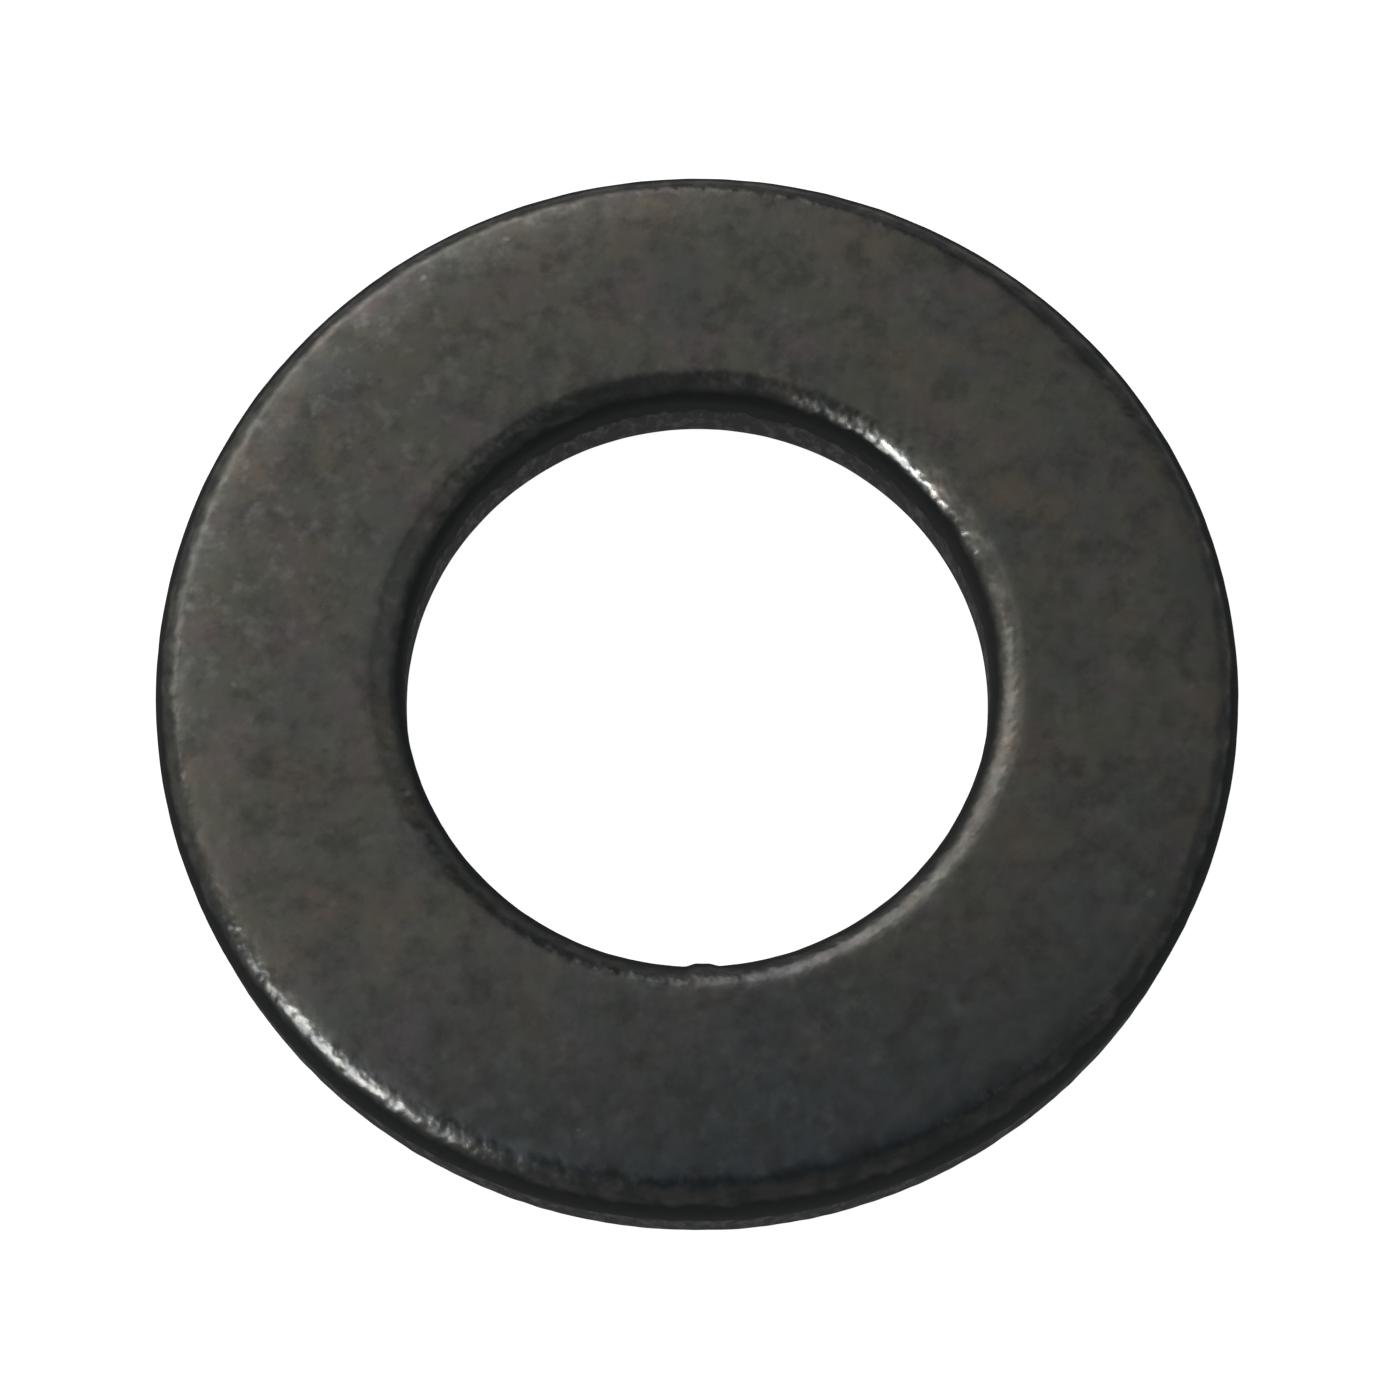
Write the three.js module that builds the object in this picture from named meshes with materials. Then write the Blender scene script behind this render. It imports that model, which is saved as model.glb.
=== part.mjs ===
// A plain flat washer for a 12 mm bolt, lying on its back face.
//
// The washer is one piece of steel strip. Its bore and its rim were cut in one stroke, with the
// punch and the die meeting from opposite sides, so the front face is rolled over along both
// edges and the back face keeps both of its edges nearly sharp.
//
// Millimetres, with +Z up. The origin is the centre of the bore on the back face, so the washer
// lies on z = 0 and its front face is at z = THICKNESS.

import * as THREE from 'three';

// Driving dimensions.
const BORE_DIAMETER = 13;
const RIM_DIAMETER = 24;
const THICKNESS = 2.5;
const RIM_ROLL_RADIUS = 0.7;
const BORE_ROLL_RADIUS = 0.65;
const BACK_EDGE_RADIUS = 0.12;

// How finely the round stretches are divided.
const SEGMENTS_AROUND = 96;
const SEGMENTS_PER_ROLL = 6;
const SEGMENTS_PER_BACK_EDGE = 2;

const BORE_RADIUS = BORE_DIAMETER / 2;
const RIM_RADIUS = RIM_DIAMETER / 2;
const QUARTER_TURN = Math.PI / 2;

// One rounded corner of the cross-section: a quarter of a circle, counter-clockwise from
// fromAngle. A centre's x is its distance from the washer's axis, and its y is its height.
function roundedCorner(centre, radius, fromAngle, segments) {
  const toAngle = fromAngle + QUARTER_TURN;
  const arc = new THREE.EllipseCurve(centre.x, centre.y, radius, radius, fromAngle, toAngle);
  return arc.getPoints(segments);
}

// The closed cross-section of the ring, counter-clockwise from the back edge of the rim. The
// straight stretches between the corners are the rim's wall, the front face, the bore's wall and
// the back face.
function ringSection() {
  const rimBack = new THREE.Vector2(RIM_RADIUS - BACK_EDGE_RADIUS, BACK_EDGE_RADIUS);
  const rimFront = new THREE.Vector2(RIM_RADIUS - RIM_ROLL_RADIUS, THICKNESS - RIM_ROLL_RADIUS);
  const boreFront = new THREE.Vector2(BORE_RADIUS + BORE_ROLL_RADIUS, THICKNESS - BORE_ROLL_RADIUS);
  const boreBack = new THREE.Vector2(BORE_RADIUS + BACK_EDGE_RADIUS, BACK_EDGE_RADIUS);
  const outline = [
    ...roundedCorner(rimBack, BACK_EDGE_RADIUS, -QUARTER_TURN, SEGMENTS_PER_BACK_EDGE),
    ...roundedCorner(rimFront, RIM_ROLL_RADIUS, 0, SEGMENTS_PER_ROLL),
    ...roundedCorner(boreFront, BORE_ROLL_RADIUS, QUARTER_TURN, SEGMENTS_PER_ROLL),
    ...roundedCorner(boreBack, BACK_EDGE_RADIUS, 2 * QUARTER_TURN, SEGMENTS_PER_BACK_EDGE),
  ];
  return [...outline, outline[0].clone()];
}

// Steel under a dark, satin black-oxide finish.
function blackenedSteel() {
  return new THREE.MeshStandardMaterial({ color: 0x45453f, roughness: 0.45, metalness: 0.8 });
}

// The washer itself: the cross-section turned about the bore's axis. A lathe turns about +Y, so
// the mesh is tipped to bring that axis to +Z.
function washerRing() {
  const geometry = new THREE.LatheGeometry(ringSection(), SEGMENTS_AROUND);
  const mesh = new THREE.Mesh(geometry, blackenedSteel());
  mesh.name = 'washer_ring';
  mesh.rotation.x = QUARTER_TURN;
  return mesh;
}

const flatWasher = new THREE.Group();
flatWasher.add(washerRing());

export default flatWasher;
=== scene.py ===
"""A blackened steel flat washer lying on a pale floor under soft studio light.

The washer is one stamped piece of steel, so it is one mesh here. Its bore and its rim were cut in
one press stroke: the front face is rolled over along both edges, the walls are burnished where
the steel was sheared and rough where it broke away, and the bore's edge has one small burr.

Metres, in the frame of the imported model. Sizes are worked out from that frame, and the short
lengths of the surface detail are given in millimetres through MM.
"""

import math

import bpy
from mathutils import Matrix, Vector, noise


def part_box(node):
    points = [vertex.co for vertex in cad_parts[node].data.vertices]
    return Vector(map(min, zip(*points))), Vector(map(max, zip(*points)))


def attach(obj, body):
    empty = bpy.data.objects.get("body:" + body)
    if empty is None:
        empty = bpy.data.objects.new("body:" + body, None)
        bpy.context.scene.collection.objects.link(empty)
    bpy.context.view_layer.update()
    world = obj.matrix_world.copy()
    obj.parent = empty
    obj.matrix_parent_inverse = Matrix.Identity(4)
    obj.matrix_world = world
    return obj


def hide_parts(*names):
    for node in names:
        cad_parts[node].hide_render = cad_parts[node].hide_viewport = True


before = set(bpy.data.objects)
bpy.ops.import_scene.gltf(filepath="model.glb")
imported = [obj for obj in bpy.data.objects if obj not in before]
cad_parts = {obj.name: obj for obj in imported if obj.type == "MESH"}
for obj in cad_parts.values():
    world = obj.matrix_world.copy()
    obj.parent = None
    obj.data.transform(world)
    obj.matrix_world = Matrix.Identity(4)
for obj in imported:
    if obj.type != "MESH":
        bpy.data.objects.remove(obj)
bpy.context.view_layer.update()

MM = 0.001
NODE = "washer_ring"

# The frame's sizes.
LOW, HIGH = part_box(NODE)
RIM_RADIUS = (HIGH.x - LOW.x) / 2
THICKNESS = HIGH.z - LOW.z
BORE_RADIUS = min(math.hypot(v.co.x, v.co.y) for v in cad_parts[NODE].data.vertices)

# Rolled edges, as shares of the thickness. A roll starts as a gentle slope and steepens towards
# the wall: the higher its power, the later it steepens.
RIM_ROLL_WIDTH = 0.32 * THICKNESS
RIM_ROLL_DEPTH = 0.27 * THICKNESS
RIM_ROLL_POWER = 2.1
RIM_ROLL_LEAN = 0.32  # how much larger the roll is on its heavy side, as a share of its size
RIM_ROLL_HEAVY_SIDE = math.radians(-65)
BORE_ROLL_WIDTH = 0.29 * THICKNESS
BORE_ROLL_DEPTH = 0.25 * THICKNESS
BORE_ROLL_POWER = 1.6
BORE_ROLL_OVAL = 0.06  # how much wider the roll is along X than on average, as a share

# The front face falls away a little towards the rim's roll, and more where that roll is small.
SHOULDER_WIDTH = 0.75 * THICKNESS
SHOULDER_DROP = 0.024 * THICKNESS
SHOULDER_POWER = 3

# The walls and the back edges.
BACK_EDGE = 0.05 * THICKNESS
RIM_BURNISHED_SHARE = 0.10  # of the wall's height, below the roll
BORE_BURNISHED_SHARE = 0.30
FRACTURE_TAPER = 0.012 * THICKNESS
BURR_AT = math.radians(-89)
BURR_HALF_WIDTH = 0.16 * THICKNESS
BURR_HEIGHT = 0.03 * THICKNESS
BURR_CREST_SHARE = 0.3  # of its half width, which stands at the full height
BURR_FADE_POWER = 4  # how quickly it fades away from the edge, up the roll and down the wall

# The mesh's fine relief: each wave's height, the size of its lumps, and its seed.
PEEL_WAVE = (0.005 * MM, 0.90 * MM, 3.1)
FINE_WAVE = (0.0025 * MM, 0.35 * MM, 7.7)
WALL_WAVE = (0.012 * MM, 0.35 * MM, 11.3)
ROLL_WAVE = (0.006 * MM, 0.40 * MM, 5.9)
SKIN = 0.008 * MM  # how far the smooth shape is drawn in, to keep the relief's peaks inside the box

# How far the surface has turned down from level where each change starts and ends: the punch
# burnishes it, then painted shade darkens it, then it is a sheared wall.
BURNISHED_TURN = (math.radians(6), math.radians(20))
SHADE_TURN = (math.radians(16), math.radians(30))
WALL_TURN = (math.radians(37), math.radians(52))
BORE_SHADE_LAG = math.radians(11)  # on the bore's roll the painted shade starts only where it is steeper, so the roll stays paler
TURN_UNEVEN = math.radians(24)  # how far these changes wander

# The mesh's divisions.
AROUND = 1020
DIVISIONS = {
    "rim_wall": 10,
    "rim_roll": 20,
    "front": 26,
    "bore_roll": 20,
    "bore_wall": 10,
    "bore_back": 2,
    "back": 7,
    "rim_back": 2,
}


def clamp01(x):
    return min(max(x, 0.0), 1.0)


def smooth_step(low, high, x):
    t = clamp01((x - low) / (high - low))
    return t * t * (3 - 2 * t)


def direction(azimuth, elevation):
    """A unit vector: azimuth is counter-clockwise from +X, and both are in degrees."""
    a = math.radians(azimuth)
    e = math.radians(elevation)
    return Vector((math.cos(a) * math.cos(e), math.sin(a) * math.cos(e), math.sin(e)))


# ---------------------------------------------------------------- the washer's mesh


def rim_roll_size(angle):
    """The rim roll's size against its average: larger on one side, as an uneven cut leaves it."""
    return 1 + RIM_ROLL_LEAN * math.cos(angle - RIM_ROLL_HEAVY_SIDE)


def bore_roll_width(angle):
    return BORE_ROLL_WIDTH * (1 + BORE_ROLL_OVAL * math.cos(2 * angle))


def shoulder_drop(angle):
    """How far the front face has fallen away where the rim's roll starts."""
    return SHOULDER_DROP * (1 - math.cos(angle - RIM_ROLL_HEAVY_SIDE))


def shoulder_slope(angle):
    """How steeply the front face falls there. The roll goes on from this slope."""
    return SHOULDER_POWER * shoulder_drop(angle) / SHOULDER_WIDTH


def roll_curve(share, power):
    """A roll's height above its foot, as a share of its depth, at a share of the way across it."""
    return math.sqrt(1 - share ** power)


def shoulder(radius, front_outer, angle):
    """How far the front face has fallen away at a radius."""
    share = clamp01((radius - front_outer) / SHOULDER_WIDTH + 1)
    return shoulder_drop(angle) * share ** SHOULDER_POWER


def wall_recess(height, top, burnished_share):
    """How far a wall stands back at a height: nothing where burnished, more down the fracture."""
    fracture_top = top * (1 - burnished_share)
    return FRACTURE_TAPER * smooth_step(fracture_top, 0.0, height) if height < fracture_top else 0.0


def burr(angle):
    """How far the small burr on the bore's edge stands out at an angle."""
    off = (angle - BURR_AT + math.pi) % (2 * math.pi) - math.pi
    share = abs(off) * BORE_RADIUS / BURR_HALF_WIDTH
    return BURR_HEIGHT * (1 - smooth_step(BURR_CREST_SHARE, 1.0, share))


def section_point(zone, t, angle):
    """The point at share t along one zone of the cross-section: its radius and its height."""
    quarter = t * math.pi / 2
    rim_width = RIM_ROLL_WIDTH * rim_roll_size(angle)
    rim_depth = RIM_ROLL_DEPTH * rim_roll_size(angle)
    bore_width = bore_roll_width(angle)
    front_outer = RIM_RADIUS - rim_width
    front_inner = BORE_RADIUS + bore_width
    rim_fall = shoulder_slope(angle) * rim_width
    rim_top = THICKNESS - shoulder_drop(angle) - rim_fall - rim_depth
    bore_top = THICKNESS - BORE_ROLL_DEPTH
    if zone == "rim_wall":
        height = BACK_EDGE + (rim_top - BACK_EDGE) * t
        return RIM_RADIUS - wall_recess(height, rim_top, RIM_BURNISHED_SHARE), height
    if zone == "rim_roll":
        share = 1 - t * t
        height = rim_top + rim_fall * (1 - share) + rim_depth * roll_curve(share, RIM_ROLL_POWER)
        return front_outer + rim_width * share, height
    if zone == "front":
        radius = front_outer + (front_inner - front_outer) * t
        return radius, THICKNESS - shoulder(radius, front_outer, angle)
    if zone == "bore_roll":
        share = 1 - (1 - t) ** 2
        height = bore_top + BORE_ROLL_DEPTH * roll_curve(share, BORE_ROLL_POWER)
        return front_inner - bore_width * share - burr(angle) * share ** BURR_FADE_POWER, height
    if zone == "bore_wall":
        height = bore_top + (BACK_EDGE - bore_top) * t
        recess = wall_recess(height, bore_top, BORE_BURNISHED_SHARE)
        return BORE_RADIUS + recess - burr(angle) * (1 - t) ** BURR_FADE_POWER, height
    if zone == "bore_back":
        radius = BORE_RADIUS + FRACTURE_TAPER + BACK_EDGE * (1 - math.cos(quarter))
        return radius, BACK_EDGE * (1 - math.sin(quarter))
    back_inner = BORE_RADIUS + FRACTURE_TAPER + BACK_EDGE
    back_outer = RIM_RADIUS - FRACTURE_TAPER - BACK_EDGE
    if zone == "back":
        return back_inner + (back_outer - back_inner) * t, 0.0
    return back_outer + BACK_EDGE * math.sin(quarter), BACK_EDGE * (1 - math.cos(quarter))


def wave(point, height, size, seed):
    """Smooth noise between plus and minus a height, with lumps of about the given size."""
    return height * noise.noise(point / size + Vector((seed, -seed, 2 * seed)))


def relief(zone, point):
    """The height of the fine relief at a point, along its normal."""
    peel = wave(point, *PEEL_WAVE) + wave(point, *FINE_WAVE)
    if zone in ("rim_wall", "bore_wall"):
        return peel + wave(point, *WALL_WAVE)
    if zone in ("rim_roll", "bore_roll"):
        return peel + wave(point, *ROLL_WAVE)
    return peel


def washer_mesh():
    """The ring: one closed sheet of quads, with what the material needs to know as attributes."""
    stations = [(zone, i / n) for zone, n in DIVISIONS.items() for i in range(n)]
    vertices = []
    turns = []
    for k in range(AROUND):
        angle = 2 * math.pi * k / AROUND
        ring = [section_point(zone, t, angle) for zone, t in stations]
        count = len(ring)
        for j, (radius, height) in enumerate(ring):
            before = ring[j - 1]
            after = ring[(j + 1) % count]
            along = Vector((after[0] - before[0], after[1] - before[1])).normalized()
            point = Vector((radius * math.cos(angle), radius * math.sin(angle), height))
            lift = relief(stations[j][0], point) - SKIN
            radius += along.y * lift
            height -= along.x * lift
            vertices.append((radius * math.cos(angle), radius * math.sin(angle), height))
            turns.append(math.acos(min(abs(along.x), 1.0)))
    count = len(stations)
    faces = []
    for k in range(AROUND):
        here = k * count
        beyond = (k + 1) % AROUND * count
        for j in range(count):
            up = (j + 1) % count
            faces.append((here + j, beyond + j, beyond + up, here + up))
    mesh = bpy.data.meshes.new("washer_body")
    mesh.from_pydata(vertices, [], faces)
    mesh.shade_smooth()
    keep_values(mesh, "turn", turns)
    keep_values(mesh, "on_bore_roll", [float(zone == "bore_roll") for zone, t in stations] * AROUND)
    keep_values(mesh, "wall_depth", [wall_depth(zone, t) for zone, t in stations] * AROUND)
    return mesh


def keep_values(mesh, name, values):
    """Store one value per vertex, for the material to read by name."""
    attribute = mesh.attributes.new(name, "FLOAT", "POINT")
    attribute.data.foreach_set("value", values)


def wall_depth(zone, t):
    """0 at the top of a wall, 1 where its burnished part gives way to the fracture, then more."""
    if zone == "rim_wall":
        return (1 - t) / RIM_BURNISHED_SHARE
    if zone == "bore_wall":
        return t / BORE_BURNISHED_SHARE
    if zone == "bore_back":
        return 1 / BORE_BURNISHED_SHARE
    return 1 / RIM_BURNISHED_SHARE if zone == "rim_back" else 0.0


# ---------------------------------------------------------------- materials


class Nodes:
    """Short calls that add and link shader nodes in one material."""

    def __init__(self, material):
        material.use_nodes = True
        self.tree = material.node_tree
        self.shader = self.tree.nodes["Principled BSDF"]

    def add(self, kind, **settings):
        node = self.tree.nodes.new(kind)
        for key, value in settings.items():
            setattr(node, key, value)
        return node

    def link(self, output, socket):
        self.tree.links.new(output, socket)

    def put(self, socket, value):
        if isinstance(value, bpy.types.NodeSocket):
            self.link(value, socket)
        else:
            socket.default_value = value

    def math(self, operation, a, b=0.0, clamp=False):
        node = self.add("ShaderNodeMath", operation=operation, use_clamp=clamp)
        self.put(node.inputs[0], a)
        self.put(node.inputs[1], b)
        return node.outputs[0]

    def vector(self, operation, *operands):
        """One vector operation on sockets or triples of numbers."""
        node = self.add("ShaderNodeVectorMath", operation=operation)
        for socket, operand in zip(node.inputs, operands):
            self.put(socket, operand)
        return node.outputs["Value" if operation in ("DOT_PRODUCT", "LENGTH") else "Vector"]

    def ramp(self, value, low, high, to_low=0.0, to_high=1.0):
        node = self.add("ShaderNodeMapRange", interpolation_type="SMOOTHSTEP")
        for socket, given in zip(node.inputs, (value, low, high, to_low, to_high)):
            self.put(socket, given)
        return node.outputs[0]

    def mix(self, share, a, b):
        node = self.add("ShaderNodeMix", data_type="RGBA")
        self.put(node.inputs["Factor"], share)
        self.put(node.inputs[6], a)
        self.put(node.inputs[7], b)
        return node.outputs[2]

    def noise(self, where, per_mm, detail=3.0, roughness=0.5, offset=0.0):
        """Noise with lumps of about 1 / per_mm millimetres."""
        node = self.add("ShaderNodeTexNoise")
        self.link(self.vector("ADD", where, (offset, -offset, offset)), node.inputs["Vector"])
        node.inputs["Scale"].default_value = per_mm
        node.inputs["Detail"].default_value = detail
        node.inputs["Roughness"].default_value = roughness
        return node.outputs["Fac"]

    def dots(self, where, spacing, size, share, offset=0.0):
        """Soft dots: 1 at the middle of a share of a random lattice's cells, in millimetres."""
        cells = self.add("ShaderNodeTexVoronoi")
        self.link(self.vector("ADD", where, (offset, -offset, offset)), cells.inputs["Vector"])
        cells.inputs["Scale"].default_value = 1 / spacing
        chance = self.add("ShaderNodeSeparateColor")
        self.link(cells.outputs["Color"], chance.inputs[0])
        inner = 0.15 * size / spacing
        outer = 0.6 * size / spacing
        near = self.ramp(cells.outputs["Distance"], inner, outer, 1.0, 0.0)
        chosen = self.ramp(chance.outputs[0], 1 - share, 1 - 0.5 * share)
        return self.math("MULTIPLY", near, chosen)

    def roughly(self, where, reach, per_mm, offset):
        """The same places, each moved by up to about a reach, so that round shapes go uneven."""
        field = self.add("ShaderNodeTexNoise")
        self.link(self.vector("ADD", where, (offset, offset, -offset)), field.inputs["Vector"])
        field.inputs["Scale"].default_value = per_mm
        centred = self.vector("SUBTRACT", field.outputs["Color"], (0.5, 0.5, 0.5))
        return self.vector("MULTIPLY_ADD", centred, (2 * reach, 2 * reach, 2 * reach), where)

    def along(self, place, way):
        """How far each point lies along a direction, from -1 at one rim to 1 at the other."""
        return self.vector("DOT_PRODUCT", place, way * (MM / RIM_RADIUS))

    def radius(self, place):
        """How far each point is from the bore's axis."""
        return self.vector("LENGTH", self.vector("MULTIPLY", place, (1, 1, 0)))

    def drawn_down(self, place):
        """The same places with their heights pressed together, so that marks run down the walls."""
        return self.vector("MULTIPLY", place, (1, 1, 0.4))

    def attribute(self, name):
        return self.add("ShaderNodeAttribute", attribute_name=name).outputs["Fac"]

    def millimetres(self):
        """Each point's place on the object, in millimetres."""
        place = self.add("ShaderNodeTexCoord").outputs["Object"]
        scale = self.add("ShaderNodeVectorMath", operation="SCALE")
        self.link(place, scale.inputs[0])
        scale.inputs["Scale"].default_value = 1 / MM
        return scale.outputs[0]


WORN_BORE_FROM = BORE_RADIUS + 0.20 * THICKNESS
WORN_BORE_TO = BORE_RADIUS + 0.42 * THICKNESS
WORN_SIDE = direction(148, 0)
# Painted shade: the colour goes darker and bluer towards this side, -Y, nearest the camera.
SHADED_SIDE = direction(280, 0)

OLIVE_GREY = (0.131, 0.130, 0.107, 1)
TAN_GREY = (0.152, 0.131, 0.106, 1)
MAUVE_GREY = (0.141, 0.122, 0.119, 1)
SLATE = (0.116, 0.121, 0.112, 1)
SOOT = (0.067, 0.066, 0.060, 1)
WORN = (0.300, 0.300, 0.285, 1)
# The painted shade's colour on the side nearest the camera.
SIDE_SHADE_BLUE = (0.070, 0.080, 0.087, 1)
# Painted shade where the surface turns down, in two depths.
ROLL_SHADE = (0.098, 0.096, 0.085, 1)
DEEP_ROLL_SHADE = (0.064, 0.066, 0.062, 1)
# The sheared band's colour on the walls, dark as painted shade.
SHADED_SHEAR = (0.031, 0.032, 0.031, 1)
BROKEN = (0.046, 0.047, 0.045, 1)
SCRAPED = (0.080, 0.081, 0.078, 1)

# The oxide's broad tints: each colour, its patches per millimetre, the offset of its noise, and
# where in that noise it starts to show and where it shows fully.
TINTS = [
    (SLATE, 0.55, 4, 0.38, 0.68),
    (TAN_GREY, 0.65, 31, 0.46, 0.72),
    (MAUVE_GREY, 0.75, 47, 0.48, 0.72),
]

# How strongly each kind of mark shows in the colour.
PIT_SHARE = 0.6
CHIP_SHARE = 0.34
GRAIN_SHARE = 0.18
SPECK_SHARE = 0.65

# How much of its metallic look the oxide loses under the painted shade where it turns down, and
# then under the painted shade on the sheared walls.
SHADE_METAL_LOSS = 0.6
WALL_SHADE_METAL_LOSS = 0.4

# Gloss, and the bump's layers against its peel.
SATIN_ROUGHNESS = (0.38, 0.45)
BURNISHED_GLOSS = 0.16
BROKEN_DULLNESS = 0.34
GRAIN_RELIEF = 0.35
RIPPLE_RELIEF = 3.2
CRUMB_RELIEF = 2.0
BUMP_STRENGTH = 0.4
BUMP_DEPTH = 0.02 * MM


def steel_colour(n, place, painted_shade, upright, broken):
    """Mottled black oxide: pale where it is worn, with painted shade towards -Y, where it turns
    down and on the sheared walls, dull where it broke.
    """
    nudged = n.roughly(place, 0.10, 3.0, offset=2)
    colour = OLIVE_GREY
    for tint, per_mm, offset, low, high in TINTS:
        colour = n.mix(n.ramp(n.noise(nudged, per_mm, offset=offset), low, high), colour, tint)
    # Painted shade: darker blue-grey towards the side nearest the camera.
    side_shade = n.ramp(n.along(place, SHADED_SIDE), 0.30, 1.00, 0.0, 0.90)
    colour = n.mix(side_shade, colour, SIDE_SHADE_BLUE)
    darkening = n.noise(place, 1.6, detail=4, roughness=0.62, offset=9)
    colour = n.mix(n.ramp(darkening, 0.28, 0.56, 0.62, 0.0), colour, SOOT)
    pits = n.dots(nudged, spacing=1.3, size=0.20, share=0.35, offset=12)
    colour = n.mix(n.math("MULTIPLY", pits, PIT_SHARE), colour, SOOT)

    grains = n.dots(nudged, spacing=0.38, size=0.20, share=0.5, offset=53)
    chips = n.ramp(n.noise(place, 2.4, roughness=0.55, offset=61), 0.48, 0.76)
    specks = n.dots(nudged, spacing=0.95, size=0.17, share=0.30, offset=29)
    chipped = n.math("MULTIPLY", chips, CHIP_SHARE)
    flecks = n.math("ADD", chipped, n.math("MULTIPLY", grains, GRAIN_SHARE))
    flecks = n.math("MAXIMUM", flecks, n.math("MULTIPLY", specks, SPECK_SHARE))
    worn_side = n.ramp(n.along(place, WORN_SIDE), 0.35, 0.90)
    worn_bore = n.ramp(n.radius(place), WORN_BORE_FROM / MM, WORN_BORE_TO / MM, 1.0, 0.0)
    worn_patch = n.ramp(n.noise(place, 0.5, detail=2, offset=83), 0.42, 0.62, 0.0, 0.4)
    worn = n.math("MAXIMUM", n.math("MAXIMUM", worn_side, worn_bore), worn_patch)
    colour = n.mix(n.math("MULTIPLY", worn, flecks), colour, WORN)

    # Painted shade where the surface turns down, deeper in patches.
    deep_share = n.ramp(n.noise(place, 1.8, offset=37), 0.36, 0.62)
    colour = n.mix(painted_shade, colour, n.mix(deep_share, ROLL_SHADE, DEEP_ROLL_SHADE))
    # The sheared band of the walls, painted dark as shade.
    colour = n.mix(upright, colour, SHADED_SHEAR)
    scrapes = n.noise(n.drawn_down(place), 4.2, roughness=0.6, offset=97)
    broken_colour = n.mix(n.ramp(scrapes, 0.44, 0.68), BROKEN, SCRAPED)
    return n.mix(broken, colour, broken_colour)


def blackened_steel():
    """Satin black oxide over stamped steel."""
    material = bpy.data.materials.new("blackened_steel")
    n = Nodes(material)
    place = n.millimetres()
    wander = n.math("SUBTRACT", n.noise(place, 1.4, detail=4, roughness=0.6, offset=3), 0.5)
    turn = n.math("ADD", n.attribute("turn"), n.math("MULTIPLY", wander, TURN_UNEVEN))
    burnished = n.ramp(turn, *BURNISHED_TURN)
    # Painted shade where the surface turns down; on the bore's roll it starts at a steeper turn.
    shade_lag = n.math("MULTIPLY", n.attribute("on_bore_roll"), BORE_SHADE_LAG)
    painted_shade = n.ramp(n.math("SUBTRACT", turn, shade_lag), *SHADE_TURN)
    upright = n.ramp(turn, *WALL_TURN)
    ragged = n.ramp(n.noise(place, 2.2, detail=4, roughness=0.6, offset=19), 0.2, 0.8, 0.5, 1.5)
    broken = n.ramp(n.math("SUBTRACT", n.attribute("wall_depth"), ragged), -0.15, 0.15)
    n.link(steel_colour(n, place, painted_shade, upright, broken), n.shader.inputs["Base Color"])
    n.shader.inputs["Specular Tint"].default_value = (0.38, 0.38, 0.38, 1)
    n.shader.inputs["Specular IOR Level"].default_value = 0.0

    # The oxide is metallic where it was pressed smooth, and dull under the painted shade where it
    # turns down and on the sheared walls.
    shade_metal_loss = n.math("MULTIPLY", painted_shade, SHADE_METAL_LOSS)
    darkening = n.math("ADD", shade_metal_loss, n.math("MULTIPLY", upright, WALL_SHADE_METAL_LOSS))
    n.link(n.math("SUBTRACT", 1.0, darkening, clamp=True), n.shader.inputs["Metallic"])

    # Gloss: satin on the flats, smoother where burnished by the punch, dull where it broke.
    roughness = n.ramp(n.noise(place, 2.5, detail=2, offset=17), 0.3, 0.7, *SATIN_ROUGHNESS)
    roughness = n.math("SUBTRACT", roughness, n.math("MULTIPLY", burnished, BURNISHED_GLOSS))
    dulled = n.math("MULTIPLY", broken, BROKEN_DULLNESS)
    roughness = n.math("ADD", roughness, dulled, clamp=True)
    n.link(roughness, n.shader.inputs["Roughness"])

    # Relief: a soft orange peel with a finer grain in it, coarse and ragged where it broke.
    peel = n.noise(place, 2.2, detail=2, offset=41)
    grain = n.noise(place, 5.5, detail=2, offset=23)
    ripple = n.math("SUBTRACT", n.noise(place, 3.2, detail=1, offset=89), 0.5)
    rubble = n.noise(n.drawn_down(place), 7.0, detail=4, roughness=0.65, offset=67)
    crumbs = n.math("SUBTRACT", rubble, 0.5)
    height = n.math("ADD", peel, n.math("MULTIPLY", grain, GRAIN_RELIEF))
    for layer, where, relief_share in (
        (ripple, burnished, RIPPLE_RELIEF),
        (crumbs, broken, CRUMB_RELIEF),
    ):
        masked = n.math("MULTIPLY", layer, where)
        height = n.math("ADD", height, n.math("MULTIPLY", masked, relief_share))
    bump = n.add("ShaderNodeBump")
    bump.inputs["Strength"].default_value = BUMP_STRENGTH
    bump.inputs["Distance"].default_value = BUMP_DEPTH
    n.link(height, bump.inputs["Height"])
    n.link(bump.outputs["Normal"], n.shader.inputs["Normal"])
    return material


def pale_floor():
    """White matt acrylic, lit a little from within."""
    material = bpy.data.materials.new("pale_floor")
    n = Nodes(material)
    n.shader.inputs["Base Color"].default_value = (0.50, 0.50, 0.50, 1)
    n.shader.inputs["Roughness"].default_value = 0.9
    n.shader.inputs["Specular IOR Level"].default_value = 0.2
    n.shader.inputs["Emission Color"].default_value = (1, 1, 1, 1)
    n.shader.inputs["Emission Strength"].default_value = 0.96
    return material


# ---------------------------------------------------------------- pieces


def show(name, mesh, material):
    piece = bpy.data.objects.new(name, mesh)
    mesh.materials.append(material)
    bpy.context.scene.collection.objects.link(piece)
    return piece


def make_washer():
    washer = show("washer_body", washer_mesh(), blackened_steel())
    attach(washer, "root")
    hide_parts(NODE)


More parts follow.
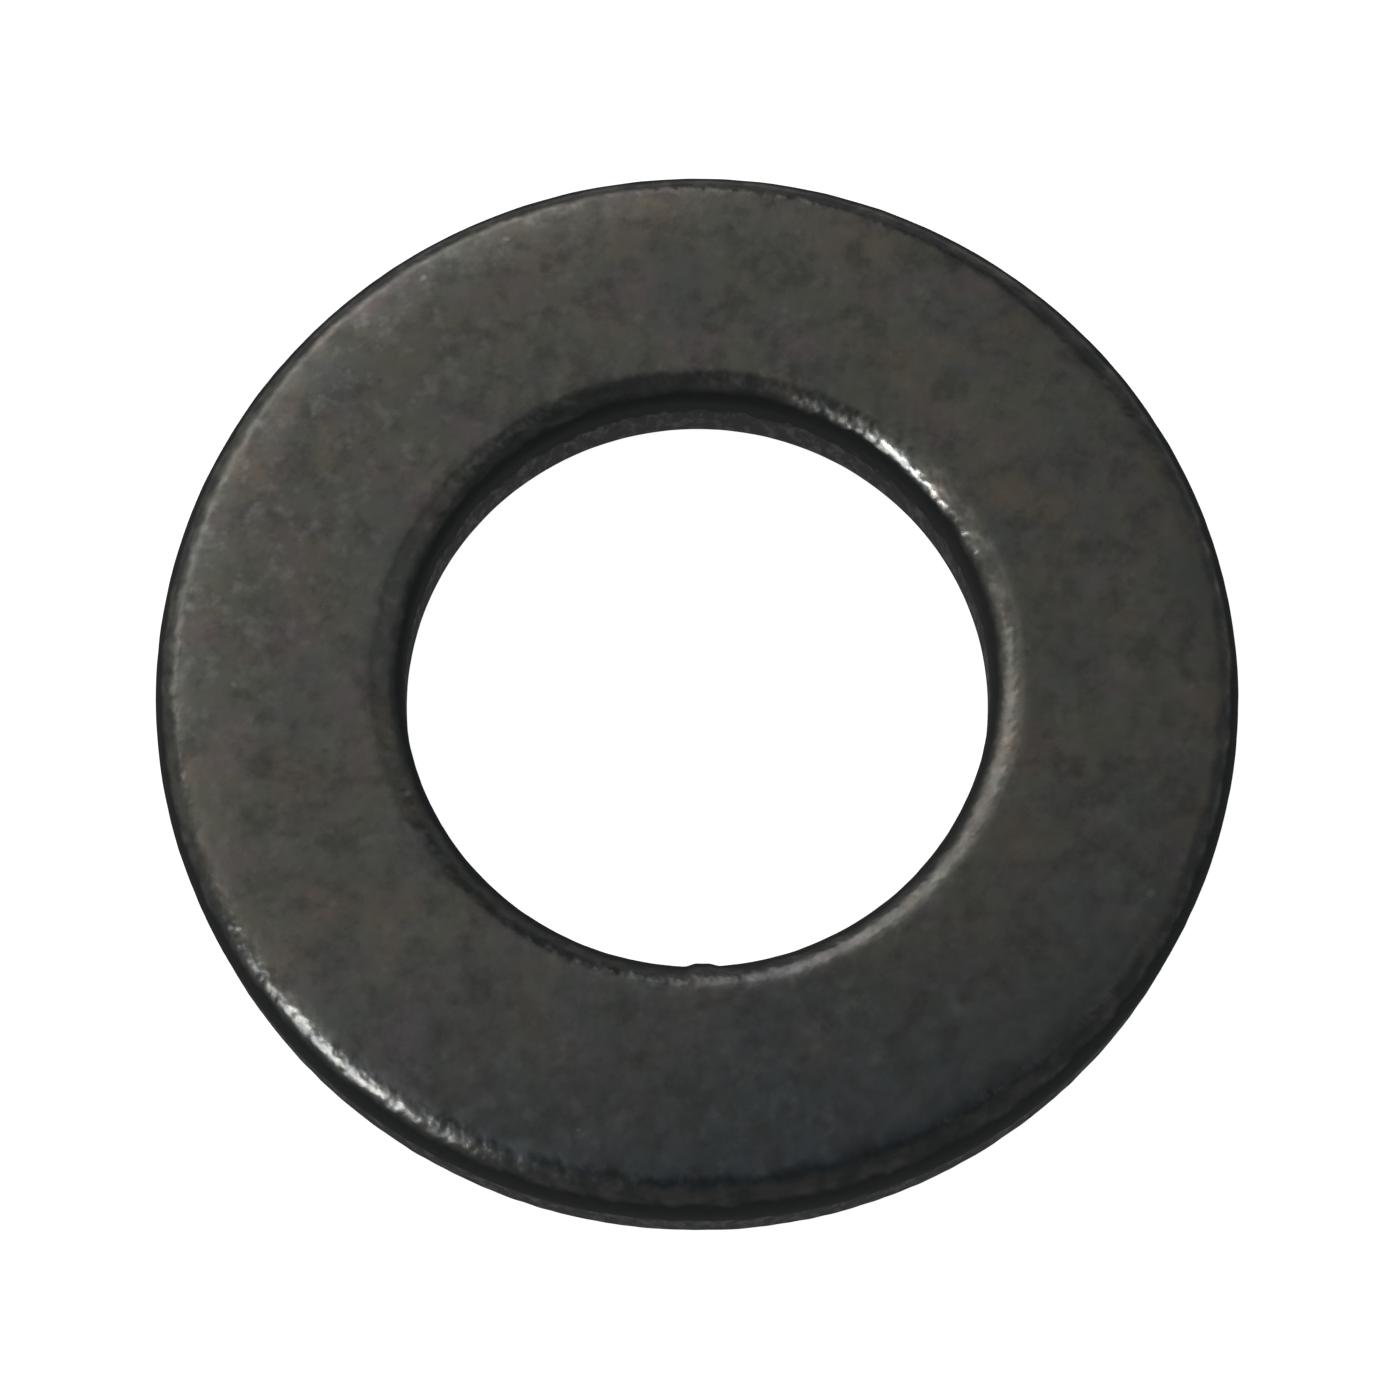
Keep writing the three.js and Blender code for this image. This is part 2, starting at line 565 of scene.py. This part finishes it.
FLOOR_REACH = 60 * RIM_RADIUS
FLOOR_GAP = 0.002 * MM  # how far the floor lies below the washer, so that their faces don't mix


def make_floor():
    half = FLOOR_REACH
    corners = [(-half, -half, 0), (half, -half, 0), (half, half, 0), (-half, half, 0)]
    mesh = bpy.data.meshes.new("floor")
    mesh.from_pydata(corners, [], [(0, 1, 2, 3)])
    floor = show("floor", mesh, pale_floor())
    floor.location.z = LOW.z - FLOOR_GAP


# ---------------------------------------------------------------- camera and light

CENTRE = (LOW + HIGH) / 2
CAMERA_TILT = math.radians(16.5)  # from straight above, towards -Y
CAMERA_DISTANCE = 8 * RIM_RADIUS
FRAME_WIDTH = 2.596 * RIM_RADIUS  # across the picture, at the washer
AIM_OFFSET = Vector((0.005 * RIM_RADIUS, -0.023 * RIM_RADIUS, 0))

# The room's light, from a low direction to a high one: the sine of each elevation, and strengths.
ROOM_LOW, ROOM_HIGH = 0.10, 0.42
ROOM_LOW_STRENGTH, ROOM_HIGH_STRENGTH = 0.36, 0.13
ROOM_COLOUR = (0.80, 0.90, 1.0, 1)

# Each lamp: azimuth and elevation in degrees, distance, width and height in metres, the radiance
# that it shows, and its colour.
LAMPS = {
    "key_softbox": (146, 45, 0.40, 0.60, 0.56, 0.43, (1.0, 0.965, 0.88)),
    "low_strip": (126, 34, 0.40, 0.52, 0.26, 1.08, (0.97, 0.95, 1.0)),
    "fill_softbox": (15, 48, 0.40, 0.40, 0.40, 0.22, (1.0, 0.98, 0.94)),
    "edge_strip": (215, 31, 0.30, 0.10, 0.08, 34.0, (0.94, 0.95, 1.0)),
}


def make_camera():
    camera = bpy.data.cameras.new("camera")
    camera.sensor_width = 36
    camera.lens = camera.sensor_width * CAMERA_DISTANCE / FRAME_WIDTH
    camera.clip_start = 0.01 * CAMERA_DISTANCE
    camera.clip_end = 100 * CAMERA_DISTANCE
    holder = bpy.data.objects.new("camera", camera)
    back = Vector((0, -math.sin(CAMERA_TILT), math.cos(CAMERA_TILT)))
    holder.location = CENTRE + AIM_OFFSET + back * CAMERA_DISTANCE
    holder.rotation_euler = (CAMERA_TILT, 0, 0)
    bpy.context.scene.collection.objects.link(holder)
    bpy.context.scene.camera = holder


def make_lamp(name, azimuth, elevation, distance, width, height, radiance, colour):
    """A soft lamp that faces the washer. Its watts follow from the radiance it shows."""
    lamp = bpy.data.lights.new(name, "AREA")
    lamp.shape = "RECTANGLE"
    lamp.size = width
    lamp.size_y = height
    lamp.color = colour
    lamp.energy = radiance * math.pi * width * height
    holder = bpy.data.objects.new(name, lamp)
    towards = direction(azimuth, elevation)
    holder.location = CENTRE + towards * distance
    holder.rotation_euler = towards.to_track_quat("Z", "Y").to_euler()
    holder.visible_camera = False
    bpy.context.scene.collection.objects.link(holder)
    return holder


def make_world():
    """A dim room, paler towards the horizon."""
    world = bpy.data.worlds.new("studio")
    world.use_nodes = True
    tree = world.node_tree
    way = tree.nodes.new("ShaderNodeTexCoord")
    split = tree.nodes.new("ShaderNodeSeparateXYZ")
    tree.links.new(way.outputs["Generated"], split.inputs[0])
    strength = tree.nodes.new("ShaderNodeMapRange")
    tree.links.new(split.outputs["Z"], strength.inputs["Value"])
    strength.inputs["From Min"].default_value = ROOM_LOW
    strength.inputs["From Max"].default_value = ROOM_HIGH
    strength.inputs["To Min"].default_value = ROOM_LOW_STRENGTH
    strength.inputs["To Max"].default_value = ROOM_HIGH_STRENGTH
    background = tree.nodes["Background"]
    background.inputs["Color"].default_value = ROOM_COLOUR
    tree.links.new(strength.outputs["Result"], background.inputs["Strength"])
    bpy.context.scene.world = world


def light_scene():
    make_world()
    lamps = {name: make_lamp(name, *settings) for name, settings in LAMPS.items()}
    lamps["edge_strip"].visible_diffuse = False  # it is there for its glint along the rolls
    bpy.context.scene.view_settings.view_transform = "Standard"


make_camera()
light_scene()
make_floor()
make_washer()
